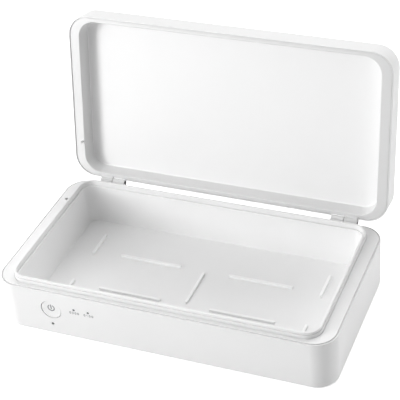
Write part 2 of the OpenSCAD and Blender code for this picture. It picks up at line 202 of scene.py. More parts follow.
def turned(profile: Sequence[tuple[float, float]], origin: Point, along: Vector,
           sides: int = HOLE_SIDES) -> Part:
    """A solid turned round an axis.

    Args:
        profile: Pairs of distance along the axis and radius, from one end to the other.
        origin: Point where the distance is zero.
        along: Direction of the axis.
        sides: Segments round the axis.

    Returns:
        The points and faces.
    """
    helper = Z_AXIS if abs(along.z) < 0.9 else X_AXIS
    u = along.cross(helper).normalized()
    v = along.cross(u)
    points: list[Point] = []
    for distance, radius in profile:
        for i in range(sides):
            angle = 2 * math.pi * i / sides
            rim = (u * math.cos(angle) + v * math.sin(angle)) * radius
            points.append(tuple(Vector(origin) + along * distance + rim))
    spans = len(profile) - 1
    return points, bands(sides, spans) + caps(sides, spans * sides)


def rod(start: float, end: float, radius: float, origin: Point, along: Vector,
        edge: float = 0.0) -> Part:
    """A round bar between two distances along an axis.

    Args:
        start: Distance of the first end.
        end: Distance of the second end.
        radius: The bar's radius.
        origin: Point where the distance is zero.
        along: Direction of the axis.
        edge: Radius of the rounded ends, or 0 for sharp ones.

    Returns:
        The points and faces.
    """
    if edge <= 0:
        return turned([(start, radius), (end, radius)], origin, along)
    arc = [math.radians(90 * i / BEND_STEPS) for i in range(BEND_STEPS + 1)]
    first = [(start + edge - edge * math.cos(a), radius - edge + edge * math.sin(a)) for a in arc]
    second = [(end - edge + edge * math.sin(a), radius - edge + edge * math.cos(a)) for a in arc]
    return turned(first + second, origin, along)


def block(low: Point, high: Point) -> Part:
    """A box between two corners.

    Args:
        low: The corner with the lowest coordinates.
        high: The corner with the highest coordinates.

    Returns:
        The points and faces.
    """
    (x0, y0, z0), (x1, y1, z1) = low, high
    points = [(x0, y0, z0), (x1, y0, z0), (x1, y1, z0), (x0, y1, z0),
              (x0, y0, z1), (x1, y0, z1), (x1, y1, z1), (x0, y1, z1)]
    faces = [[0, 3, 2, 1], [4, 5, 6, 7], [0, 1, 5, 4], [1, 2, 6, 5], [2, 3, 7, 6], [3, 0, 4, 7]]
    return points, faces


def moved(part: Part, change: Matrix) -> Part:
    """The part with every point put through a matrix."""
    points, faces = part
    return [tuple(change @ Vector(p)) for p in points], faces


# ---- meshes ----


def mesh_of(name: str, parts: Iterable[Part]) -> bpy.types.Mesh:
    """One mesh, in metres, out of several closed parts.

    Args:
        name: Name of the mesh.
        parts: Points and faces of each part, in millimetres.

    Returns:
        The mesh, with its normals outwards.
    """
    points: list[Point] = []
    faces: list[list[int]] = []
    for part_points, part_faces in parts:
        start = len(points)
        points.extend(part_points)
        faces.extend([i + start for i in face] for face in part_faces)
    mesh = bpy.data.meshes.new(name)
    mesh.from_pydata([(x * MM, y * MM, z * MM) for x, y, z in points], [], faces)
    work = bmesh.new()
    work.from_mesh(mesh)
    bmesh.ops.recalc_face_normals(work, faces=work.faces)
    work.to_mesh(mesh)
    work.free()
    return mesh


def linked(mesh: bpy.types.Mesh) -> bpy.types.Object:
    """Puts a mesh into the scene.

    Args:
        mesh: The mesh, which gives the object its name too.

    Returns:
        The new object.
    """
    piece = bpy.data.objects.new(mesh.name, mesh)
    bpy.context.scene.collection.objects.link(piece)
    return piece


def removed(piece: bpy.types.Object) -> None:
    """Takes an object and its mesh out of the file.

    Args:
        piece: The object.
    """
    mesh = piece.data
    bpy.data.objects.remove(piece)
    bpy.data.meshes.remove(mesh)


def baked(piece: bpy.types.Object) -> None:
    """Applies an object's modifiers to its mesh.

    Args:
        piece: The object.
    """
    bpy.context.view_layer.update()
    graph = bpy.context.evaluated_depsgraph_get()
    result = bpy.data.meshes.new_from_object(piece.evaluated_get(graph), depsgraph=graph)
    old = piece.data
    piece.modifiers.clear()
    piece.data = result
    bpy.data.meshes.remove(old)


def cut_away(piece: bpy.types.Object, cutters: Sequence[Part]) -> None:
    """Takes cutters out of a piece.

    Args:
        piece: The piece to cut.
        cutters: Closed parts that lie apart from each other.
    """
    tool = linked(mesh_of(piece.name + "_cutter", cutters))
    change = piece.modifiers.new("cut", "BOOLEAN")
    change.operation = "DIFFERENCE"
    change.solver = "EXACT"
    change.object = tool
    baked(piece)
    removed(tool)


def join(piece: bpy.types.Object, parts: Sequence[Part]) -> None:
    """Adds parts to a piece's mesh, once the piece is cut.

    Args:
        piece: The piece that takes them up.
        parts: Points and faces of each part.
    """
    extra = mesh_of(piece.name + "_extra", parts)
    work = bmesh.new()
    work.from_mesh(piece.data)
    work.from_mesh(extra)
    work.to_mesh(piece.data)
    work.free()
    bpy.data.meshes.remove(extra)


def smooth(piece: bpy.types.Object, angle: float = 40.0) -> None:
    """Smooth shading that keeps flats flat.

    Args:
        piece: The piece to shade.
        angle: Edges over this angle, in degrees, stay sharp.
    """
    mesh = piece.data
    mesh.polygons.foreach_set("use_smooth", [True] * len(mesh.polygons))
    mesh.set_sharp_from_angle(angle=math.radians(angle))
    weighting = piece.modifiers.new("normals", "WEIGHTED_NORMAL")
    weighting.keep_sharp = True
    weighting.weight = 80
    baked(piece)


# ---- finishes ----


# Materials made so far, by the finish's name.
MADE: dict[str, bpy.types.Material] = {}


@dataclass(frozen=True)
class Wiring:
    """A material's node tree, its shader, and the coordinates in the piece's own axes."""

    tree: bpy.types.NodeTree
    shader: bpy.types.Node
    place: bpy.types.NodeSocket
    noise_middle: tuple[float, float] = (0.3, 0.7)

    def noise(self, size_mm: float, detail: float) -> bpy.types.NodeSocket:
        """A noise in the piece's own axes.

        Args:
            size_mm: Rough width of its features.
            detail: How many finer layers it has.

        Returns:
            The socket with the noise.
        """
        noise = self.tree.nodes.new("ShaderNodeTexNoise")
        noise.inputs["Scale"].default_value = 1.0 / (size_mm * MM)
        noise.inputs["Detail"].default_value = detail
        self.tree.links.new(self.place, noise.inputs["Vector"])
        return noise.outputs["Fac"]

    def wander(self, noise: bpy.types.NodeSocket, middle: float,
               swing: float) -> bpy.types.NodeSocket:
        """A value that goes up and down with the noise.

        Args:
            noise: The noise, of which the middle part is used.
            middle: The value in the middle.
            swing: Share of it by which the result goes up and down.

        Returns:
            The socket with the result.
        """
        spread = self.tree.nodes.new("ShaderNodeMapRange")
        low, high = self.noise_middle
        spread.inputs["From Min"].default_value = low
        spread.inputs["From Max"].default_value = high
        spread.inputs["To Min"].default_value = middle * (1 - swing)
        spread.inputs["To Max"].default_value = middle * (1 + swing)
        self.tree.links.new(noise, spread.inputs["Value"])
        return spread.outputs["Result"]

    def feed(self, name: str, socket: bpy.types.NodeSocket) -> None:
        """Links a socket to the shader's input of that name."""
        self.tree.links.new(socket, self.shader.inputs[name])


@dataclass(frozen=True)
class Finish:
    """A moulded or metal surface: its colour, gloss and fine grain."""

    name: str
    colour: Point
    roughness: float = 0.4
    metallic: float = 0.0
    variation: float = 0.012
    grain_mm: float = 0.35
    grain_depth: float = 0.02
    coat: float = 0.0
    transmission: float = 0.0
    ior: float = 1.46
    cloud_mm: float = 45.0
    gloss_mm: float = 12.0
    gloss_swing: float = 0.1
    bump_strength: float = 0.25

    def material(self) -> bpy.types.Material:
        """Builds the node tree, or finds the one built before.

        Returns:
            The material.
        """
        if self.name in MADE:
            return MADE[self.name]
        material = MADE[self.name] = bpy.data.materials.new(self.name)
        material.use_nodes = True
        material.diffuse_color = (*self.colour, 1.0)
        tree = material.node_tree
        shader = tree.nodes["Principled BSDF"]
        shader.inputs["Metallic"].default_value = self.metallic
        shader.inputs["IOR"].default_value = self.ior
        shader.inputs["Coat Weight"].default_value = self.coat
        shader.inputs["Transmission Weight"].default_value = self.transmission
        place = tree.nodes.new("ShaderNodeTexCoord").outputs["Object"]
        wiring = Wiring(tree, shader, place)
        self._colour(wiring)
        self._gloss(wiring)
        self._grain(wiring)
        return material

    def _colour(self, wiring: Wiring) -> None:
        """Large, very faint clouds in the colour.

        Args:
            wiring: The material's nodes.
        """
        clouds = wiring.wander(wiring.noise(self.cloud_mm, 2.0), 1.0, self.variation)
        mix = wiring.tree.nodes.new("ShaderNodeMix")
        mix.data_type = "RGBA"
        mix.blend_type = "MULTIPLY"
        mix.inputs["Factor"].default_value = 1.0
        mix.inputs["A"].default_value = (*self.colour, 1.0)
        level = wiring.tree.nodes.new("ShaderNodeCombineColor")
        for channel in ("Red", "Green", "Blue"):
            wiring.tree.links.new(clouds, level.inputs[channel])
        wiring.tree.links.new(level.outputs["Color"], mix.inputs["B"])
        wiring.feed("Base Color", mix.outputs["Result"])

    def _gloss(self, wiring: Wiring) -> None:
        """Roughness that wanders a little over the surface."""
        noise = wiring.noise(self.gloss_mm, 3.0)
        wiring.feed("Roughness", wiring.wander(noise, self.roughness, self.gloss_swing))

    def _grain(self, wiring: Wiring) -> None:
        """The mould's fine grain as a bump.

        Args:
            wiring: The material's nodes.
        """
        bump = wiring.tree.nodes.new("ShaderNodeBump")
        bump.inputs["Strength"].default_value = self.bump_strength
        bump.inputs["Distance"].default_value = self.grain_depth * MM
        wiring.tree.links.new(wiring.noise(self.grain_mm, 2.0), bump.inputs["Height"])
        wiring.feed("Normal", bump.outputs["Normal"])


def grey(level: float) -> Point:
    """A neutral colour."""
    return (level, level, level)


WHITE_SHELL = Finish("white_shell_plastic", grey(0.83), roughness=0.42)
WHITE_FRAME = Finish("white_frame_plastic", grey(0.86), roughness=0.38)
WHITE_LINER = Finish("white_liner_plastic", grey(0.88), roughness=0.34, grain_depth=0.012)
# Painted light: a brighter copy of the white for the lid's ceiling, lighter than its flange and
# walls.
CEILING_PAINTED_LIGHT = Finish("ceiling_painted_light", grey(0.92), roughness=0.34, variation=0.004,
                        grain_depth=0.008)
# Painted highlight: a brighter copy of the white for the rib tops and the rear ribs, where light
# falls.
RIB_PAINTED_HIGHLIGHT = Finish("rib_painted_highlight", grey(0.98), roughness=0.32, grain_depth=0.005)
# Painted shade: a darker copy of the white for the rib sides in shade and the lid liner's flange
# and walls.
WHITE_PAINTED_SHADE = Finish("white_painted_shade", grey(0.78), roughness=0.45)
BUTTON = Finish("white_button_plastic", grey(0.83), roughness=0.4)
COVER = Finish("cover_plastic", grey(0.72), roughness=0.55, grain_mm=0.5, grain_depth=0.04)
PRINT = Finish("grey_print", (0.26, 0.26, 0.27), roughness=0.6, grain_depth=0.004)
RUBBER = Finish("moulded_rubber", grey(0.045), roughness=0.8, grain_depth=0.05)
STEEL = Finish("zinc_steel", (0.62, 0.62, 0.61), roughness=0.32, metallic=1.0, grain_mm=0.2)
# Painted shade: near-black metal for the pin heads, which fill the barrels' recesses where shade
# falls.
PIN_PAINTED_SHADE = Finish("pin_painted_shade", grey(0.03), roughness=0.5, metallic=0.6, grain_mm=0.2)
BOARD = Finish("green_solder_mask", (0.03, 0.17, 0.07), roughness=0.35, variation=0.08)
DARK = Finish("black_moulding", grey(0.02), roughness=0.5)
CAN = Finish("sleeved_can", (0.06, 0.08, 0.18), roughness=0.35, coat=0.3)
CABLE = Finish("cable_sheath", (0.38, 0.38, 0.40), roughness=0.55)
PLUNGER = Finish("natural_plastic", (0.70, 0.70, 0.68), roughness=0.5)
LAMP = Finish("lamp_window", (0.10, 0.11, 0.12), roughness=0.2, coat=0.4)
DIODE = Finish("diode_epoxy", (0.75, 0.62, 0.20), roughness=0.33)
QUARTZ = Finish("quartz_window", (0.92, 0.95, 0.97), roughness=0.05, transmission=0.9,
                variation=0.004, grain_depth=0.002)

# The nodes of the frame that show as they are.
NODE_FINISHES: dict[str, Finish] = {
    "bottom_cover": COVER,
    "rubber_feet": RUBBER,
    "cover_screws": STEEL,
    "main_board": BOARD,
    "controller_chip": DARK,
    "power_capacitors": CAN,
    "usb_inlet": STEEL,
    "interlock_switch": DARK,
    "interlock_plunger": DARK,
    "control_board": BOARD,
    "control_cable": CABLE,
    "tact_switch": DARK,
    "switch_stem": PLUNGER,
    "indicator_lens_left": LAMP,
    "indicator_lens_right": LAMP,
    "indicator_leds": DIODE,
    "buzzer": DARK,
    "uv_board": BOARD,
    "uv_leds": DIODE,
    "uv_windows": QUARTZ,
    "uv_cable": CABLE,
}


def dressed(piece: bpy.types.Object, finish: Finish) -> None:
    """Gives the piece one finish."""
    piece.data.materials.clear()
    piece.data.materials.append(finish.material())


def settled(piece: bpy.types.Object, body: Body, nodes: Sequence[str] = ()) -> None:
    """Ties the piece to its body, hides the frame's nodes that it stands for, and reports it.

    Args:
        piece: The finished piece.
        body: The body that it rides on.
        nodes: The frame's nodes that it stands for.
    """
    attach(piece, body.value)
    if nodes:
        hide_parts(*nodes)
    log.info("%s: %d faces on %s", piece.name, len(piece.data.polygons), body.value)


# ---- shared sizes ----


@dataclass(frozen=True)
class Shape:
    """The sizes and places that more than one sub-assembly needs.

    The peg's place is (x, y) in the shut lid, and those of the button and lamps are (x, z) in the
    front wall. The hair is the gap kept between faces that would touch. Over is how far a cutter
    reaches past the surface.
    """

    body: Outline = Outline(110.0, 57.1, 14.4)
    base_h: float = 34.0
    wall: float = 2.4
    draft: float = 0.8
    rim_w: float = 0.7
    rim_edge: float = 0.35
    rebate_edge: float = 0.12
    groove_w: float = 0.45
    ledge_t: float = 1.8
    lip: Outline = Outline(100.5, 52.9, 9.8)
    lip_h: float = 4.5
    lip_t: float = 1.8
    tub: Outline = Outline(97.6, 50.0, 6.9)
    tub_wall: float = 1.2
    tub_draft: float = 1.2
    floor_z: float = 6.6
    rim_gap: float = 0.4
    lid_h: float = 19.1
    flange_t: float = 1.6
    cavity: Outline = Outline(102.3, 53.45, 11.5)
    cavity_depth: float = 10.8
    open_angle: float = 101.0
    axis_y: float = 59.0
    axis_z: float = 34.15
    barrel_r: float = 2.5
    barrel_l: float = 8.6
    barrel_edge: float = 0.25
    bore_r: float = 2.0
    bore_l: float = 1.5
    hinge_in: float = 73.2
    hinge_gap: float = 0.3
    arm_root: float = 0.8
    arm_side: float = 0.2
    peg: tuple[float, float] = (-103.9, 32.6)
    button: tuple[float, float] = (-71.6, 19.8)
    lamps: tuple[tuple[float, float], ...] = ((-55.4, 23.4), (-45.7, 23.4))
    hair: float = 0.05
    over: float = 1.0

    @property
    def ledge_z(self) -> float:
        """Underside of the ledge."""
        return self.base_h - self.ledge_t

    @property
    def rim_z(self) -> float:
        """Rim of the shut lid."""
        return self.base_h + self.rim_gap

    @property
    def flange(self) -> Outline:
        """Outer edge of the ledge and of the lid liner's flange."""
        return self.body.grown(-self.rim_w - self.groove_w)

    def front_y(self, z: float) -> float:
        """Where the drafted front wall stands at a height."""
        return -self.body.half_y + self.draft * (1 - z / self.base_h)

    def opened(self) -> Matrix:
        """The turn that takes a shape of the shut lid to its open rest.

        Returns:
            The matrix, in millimetres.
        """
        axis = Vector((0, self.axis_y, self.axis_z))
        turn = Matrix.Rotation(math.radians(-self.open_angle), 4, "X")
        return Matrix.Translation(axis) @ turn @ Matrix.Translation(-axis)

    def barrel(self, x0: float, x1: float, open_inwards: bool) -> Part:
        """A hinge barrel with a recess in one end.

        Args:
            x0: Left end.
            x1: Right end.
            open_inwards: Whether the recess is in the end towards the middle of the box.

        Returns:
            The points and faces.
        """
        start, end = (x0, x1) if (x0 > 0) == open_inwards else (x1, x0)
        way = math.copysign(1, end - start)
        r, e = self.barrel_r, self.barrel_edge
        profile = [(start + way * self.bore_l, self.bore_r), (start, self.bore_r), (start, r - e),
                   (start + way * e, r), (end - way * e, r), (end, r - e)]
        return turned(profile, (0, self.axis_y, self.axis_z), X_AXIS)

    def arm(self, x0: float, x1: float, low: float, high: float) -> Part:
        """The arm that carries a barrel.

        Args:
            x0: Left end of the barrel.
            x1: Right end of the barrel.
            low: Underside of the arm.
            high: Top of the arm.

        Returns:
            The points and faces.
        """
        return block((x0 + self.arm_side, self.flange.half_y - self.arm_root, low),
                     (x1 - self.arm_side, self.axis_y, high))

    def hinge_spans(self, outer: bool) -> list[tuple[float, float]]:
        """The x ranges of one kind of barrel, left and right."""
        start = self.hinge_in + (self.barrel_l + self.hinge_gap if outer else 0)
        return [(-start - self.barrel_l, -start), (start, start + self.barrel_l)]

    def notch_spans(self) -> list[tuple[float, float]]:
        """The x ranges of the hinge notches in both rims.

        Returns:
            The ranges, left and right.
        """
        start = self.hinge_in - self.hinge_gap
        end = self.hinge_in + 2 * (self.barrel_l + self.hinge_gap)
        return [(-end, -start), (start, end)]

    def notches(self, low: float, high: float) -> list[Part]:
        """Cutters for the hinge notches.

        Args:
            low: Bottom of the notches.
            high: Top of the notches.

        Returns:
            One block for each side.
        """
        y0 = self.body.half_y - self.rim_w - self.hair
        y1 = self.body.half_y + self.over
        return [block((x0, y0, low), (x1, y1, high)) for x0, x1 in self.notch_spans()]


# ---- base ----


@dataclass
class BaseShell:
    """The outer wall of the base, with its front openings and hinge notches.

    The sound hole's place is (x, z) in the front wall, and the inlet's (y, z) in the left wall.
    """

    shape: Shape
    foot_edge: float = 0.7
    reach: float = 5.0
    button_hole_r: float = 6.95
    lamp_hole_r: float = 0.8
    sound: tuple[float, float] = (-72.3, 8.1)
    sound_r: float = 0.95
    sound_bore_r: float = 2.4
    sound_web: float = 0.5
    inlet: tuple[float, float] = (5.0, 11.0)
    inlet_half: tuple[float, float] = (4.77, 1.9)
    notch_gap: float = 0.4

    def wall_loft(self) -> Part:
        """The ring of the wall: foot edge, drafted outside, rim, rebate and inside.

        Returns:
            The points and faces.
        """
        s = self.shape
        top = s.base_h
        foot, rim, rebate = self.foot_edge, s.rim_edge, s.rebate_edge
        loft = Loft()
        loft.at(s.body, -s.draft - s.wall, 0)
        loft.bend(s.body, (-s.draft - foot, foot), foot, -90, 0)
        loft.bend(s.body, (-rim, top - rim), rim, 0, 90)
        loft.bend(s.body, (-s.rim_w + rebate, top - rebate), rebate, 90, 180, TINY_STEPS)
        loft.at(s.body, -s.rim_w, s.ledge_z)
        loft.at(s.body, -s.wall, s.ledge_z)
        return loft.tube()

    def cutters(self) -> list[Part]:
        """The front openings, the inlet opening and the hinge notches.

        Returns:
            The points and faces of each.
        """
        s = self.shape
        y0, y1 = -s.body.half_y - s.over, -s.body.half_y + self.reach
        holes = [(s.button, self.button_hole_r)] + [(lamp, self.lamp_hole_r) for lamp in s.lamps]
        parts = [rod(y0, y1, r, (x, 0, z), Y_AXIS) for (x, z), r in holes]
        x, z = self.sound
        web = -s.body.half_y + s.draft + self.sound_web
        profile = [(y0, self.sound_r), (web, self.sound_r), (web, self.sound_bore_r),
                   (y1, self.sound_bore_r)]
        parts.append(turned(profile, (x, 0, z), Y_AXIS))
        y, z = self.inlet
        hy, hz = self.inlet_half
        parts.append(block((-s.body.half_x - s.over, y - hy, z - hz),
                           (-s.body.half_x + self.reach, y + hy, z + hz)))
        low = s.axis_z - s.barrel_r - self.notch_gap
        return parts + s.notches(low, s.base_h + s.over)

    def build(self) -> None:
        """Makes and dresses the piece."""
        piece = linked(mesh_of("outer_shell", [self.wall_loft()]))
        cut_away(piece, self.cutters())
        smooth(piece)
        dressed(piece, WHITE_SHELL)
        settled(piece, Body.BASE, ["base_shell"])


@dataclass
class TopFrame:
    """The ledge and stepped lip round the tub, the inner hinge barrels and the interlock hole."""

    shape: Shape
    edge: float = 0.15
    edge_gap: float = 0.2
    groove_d: float = 0.8
    ledge_up: float = 0.3
    line_w: float = 0.5
    line_d: float = 0.5
    step_z: float = 3.0
    step: float = 0.25
    step_line: float = 0.45
    step_chamfer: float = 0.1
    lip_round: float = 0.4
    lip_inner_round: float = 0.5
    opening_gap: float = 1.0
    hole_r: float = 1.4

    def ring_loft(self) -> Part:
        """Ledge, lip foot, step, rounded lip top and the seat of the tub's rim.

        Returns:
            The points and faces.
        """
        s = self.shape
        rim, top, lip_top = s.base_h, s.base_h + self.ledge_up, s.base_h + s.lip_h
        outer = s.flange.grown(-self.edge_gap)
        fill = s.groove_w + self.edge_gap - s.hair
        loft = Loft()
        loft.at(outer, fill, s.ledge_z)
        loft.at(outer, fill, rim - self.groove_d)
        loft.at(outer, 0, rim - self.groove_d)
        loft.bend(outer, (-self.edge, top - self.edge), self.edge, 0, 90, EDGE_STEPS)
        loft.at(s.lip, self.line_w, top)
        loft.at(s.lip, self.line_w, top - self.line_d)
        loft.at(s.lip, 0, top - self.line_d)
        step = rim + self.step_z
        under, back = step - self.step_line, self.step + self.step_line
        loft.at(s.lip, 0, under - self.step_chamfer)
        loft.at(s.lip, -self.step_chamfer, under)
        loft.at(s.lip, -back, under)
        loft.at(s.lip, -back, step)
        loft.at(s.lip, -self.step, step)
        r = self.lip_round
        loft.bend(s.lip, (-self.step - r, lip_top - r), r, 0, 90)
        r = self.lip_inner_round
        loft.bend(s.lip, (-s.lip_t + r, lip_top - r), r, 90, 180)
        loft.at(s.lip, -s.lip_t, rim)
        opening = s.tub.grown(self.opening_gap)
        loft.at(opening, 0, rim)
        loft.at(opening, 0, s.ledge_z)
        return loft.tube()

    def knuckles(self) -> list[Part]:
        """The inner hinge barrels and their arms.

        Returns:
            The points and faces of each.
        """
        s = self.shape
        parts = []
        for x0, x1 in s.hinge_spans(outer=False):
            parts.append(s.barrel(x0, x1, open_inwards=True))
            parts.append(s.arm(x0, x1, s.ledge_z, s.base_h))
        return parts

    def build(self) -> None:
        """Makes and dresses the piece."""
        s = self.shape
        piece = linked(mesh_of("rim_and_lip", [self.ring_loft()]))
        hole = rod(s.ledge_z - s.over, s.base_h + s.over, self.hole_r, (*s.peg, 0), Z_AXIS)
        cut_away(piece, [hole])
        join(piece, self.knuckles())
        smooth(piece)
        dressed(piece, WHITE_FRAME)
        settled(piece, Body.BASE, ["top_frame"])


@dataclass
class TubLiner:
    """The drafted tub with a filleted floor, its nine ribs and the lamp windows in its wall."""

    shape: Shape
    floor_fillet: float = 0.5
    under_edge: float = 2.5
    tongue_t: float = 0.9
    tongue_h: float = 1.05
    tongue_outer_edge: float = 0.15
    tongue_inner_edge: float = 0.2
    rib_h: float = 1.6
    rib_w: float = 1.8
    rib_edge: float = 0.2
    rib_flare: float = 0.15
    rib_root: float = 0.1
    rib_round: float = 80.0
    # Faces whose normal points up more than this take the painted highlight.
    rib_lit_normal_z: float = 0.7
    middle_rib_half: float = 14.0
    long_ribs: tuple[float, float] = (38.3, 17.0)
    long_rib_half: float = 20.8
    short_ribs: tuple[float, float] = (79.3, 24.0)
    short_rib_half: float = 9.5
    window_r: float = 2.2
    window_z: float = 19.0
    window_pitch: float = 22.0
    window_reach: float = 4.0

    def inset(self, z: float) -> float:
        """How far the inner wall stands in at a height, as a negative growth."""
        s = self.shape
        return -s.tub_draft * (s.base_h - z) / (s.base_h - s.floor_z)

    def shell(self) -> Part:
        """Underside, outside, upper rim, inside and floor.

        Returns:
            The points and faces.
        """
        s = self.shape
        under, top = s.floor_z - s.tub_wall, s.base_h + self.tongue_h
        loft = Loft()
        r = self.under_edge
        loft.bend(s.tub, (self.inset(under) + s.tub_wall - r, under + r), r, -90, 0)
        loft.at(s.tub, self.inset(s.ledge_z) + s.tub_wall, s.ledge_z)
        loft.at(s.tub, self.tongue_t, s.ledge_z)
        r = self.tongue_outer_edge
        loft.bend(s.tub, (self.tongue_t - r, top - r), r, 0, 90, TINY_STEPS)
        r = self.tongue_inner_edge
        loft.bend(s.tub, (r, top - r), r, 90, 180, EDGE_STEPS)
        r = self.floor_fillet
        centre = (self.inset(s.floor_z + r) - r, s.floor_z + r)
        loft.bend(s.tub, centre, r, 0, -90, FILLET_STEPS)
        return loft.solid()

    def rib(self, x: float, y: float, half_x: float, half_y: float) -> Part:
        """One rounded bar on the floor.

        Args:
            x: Middle of the bar along the box.
            y: Middle of the bar across the box.
            half_x: Half its straight length along the box, or 0.
            half_y: Half its straight length across the box, or 0.

        Returns:
            The points and faces.
        """
        z, w, e = self.shape.floor_z, self.rib_w / 2, self.rib_edge
        outline = Outline(half_x + w, half_y + w, w)
        loft = Loft()
        loft.at(outline, self.rib_flare, z - self.rib_root)
        loft.at(outline, 0, z + self.rib_root)
        loft.bend(outline, (-e, z + self.rib_h - e), e, 0, self.rib_round, MOUTH_STEPS)
        return moved(loft.solid(), Matrix.Translation((x, y, 0)))

    def ribs(self) -> list[Part]:
        """The middle rib, four long ones and four short ones.

        Returns:
            The points and faces of each.
        """
        parts = [self.rib(0, 0, 0, self.middle_rib_half)]
        for sx in (-1, 1):
            for sy in (-1, 1):
                x, y = self.long_ribs
                parts.append(self.rib(sx * x, sy * y, self.long_rib_half, 0))
                x, y = self.short_ribs
                parts.append(self.rib(sx * x, sy * y, 0, self.short_rib_half))
        return parts

    def windows(self) -> list[Part]:
        """Cutters for the three lamp windows.

        Returns:
            The points and faces of each.
        """
        x0, x1 = (self.shape.tub.half_x + way * self.window_reach for way in (-1, 1))
        return [rod(x0, x1, self.window_r, (0, i * self.window_pitch, self.window_z), X_AXIS)
                for i in (-1, 0, 1)]

    def build(self) -> None:
        """Makes and dresses the tub, then the ribs, with painted highlight on their tops and the
        rear ribs and painted shade on the other sides.
        """
        piece = linked(mesh_of("tray_liner", [self.shell()]))
        cut_away(piece, self.windows())
        smooth(piece)
        dressed(piece, WHITE_LINER)
        settled(piece, Body.BASE, ["tub_liner"])
        ribs = linked(mesh_of("tray_ribs", self.ribs()))
        smooth(ribs)
        dressed(ribs, WHITE_PAINTED_SHADE)
        ribs.data.materials.append(RIB_PAINTED_HIGHLIGHT.material())
        # Painted light and shade: tops and all faces of the rear ribs take the bright white, the
        # front ribs' sides the dark one, as light from behind leaves them in shade.
        for face in ribs.data.polygons:
            face.material_index = int(face.normal.z > self.rib_lit_normal_z or face.center.y > 0)
        settled(ribs, Body.BASE)


# ---- lid ----


@dataclass
class LidShell:
    """The outer skin of the lid, with its rounded top edge and hinge notches."""

    shape: Shape
    top_edge: float = 4.0
    inner_edge: float = 2.0
    slope: float = 0.2
    sweep: float = 0.3

    def skin(self) -> Part:
        """Inside, rebate, rim, outer wall and roof.

        Returns:
            The points and faces.
        """
        s = self.shape
        roof, foot = s.base_h + s.lid_h, s.rim_z + s.flange_t
        loft = Loft()
        r = self.inner_edge
        loft.bend(s.body, (-s.wall - self.slope - r, roof - s.wall - r), r, 90, 0)
        loft.at(s.body, -s.wall, foot)
        loft.at(s.body, -s.rim_w, foot)
        r = s.rebate_edge
        loft.bend(s.body, (-s.rim_w + r, s.rim_z + r), r, 180, 270, TINY_STEPS)
        r = s.rim_edge
        loft.bend(s.body, (-r, s.rim_z + r), r, 270, 360)
        r = self.top_edge
        loft.bend(s.body, (-self.slope - r, roof - r), r, 0, 90, ROOF_STEPS)
        return loft.solid()

    def build(self) -> None:
        """Makes and dresses the piece."""
        s = self.shape
        turn = s.opened()
        piece = linked(mesh_of("lid_skin", [moved(self.skin(), turn)]))
        notches = s.notches(s.rim_z - s.over, s.rim_z + s.flange_t)
        cut_away(piece, [moved(notch, turn) for notch in notches])
        axis = (0, s.axis_y, s.axis_z)
        cut_away(piece, [rod(x0, x1, s.barrel_r + self.sweep, axis, X_AXIS)
                         for x0, x1 in s.notch_spans()])
        smooth(piece)
        dressed(piece, WHITE_SHELL)
        settled(piece, Body.LID, ["lid_shell"])


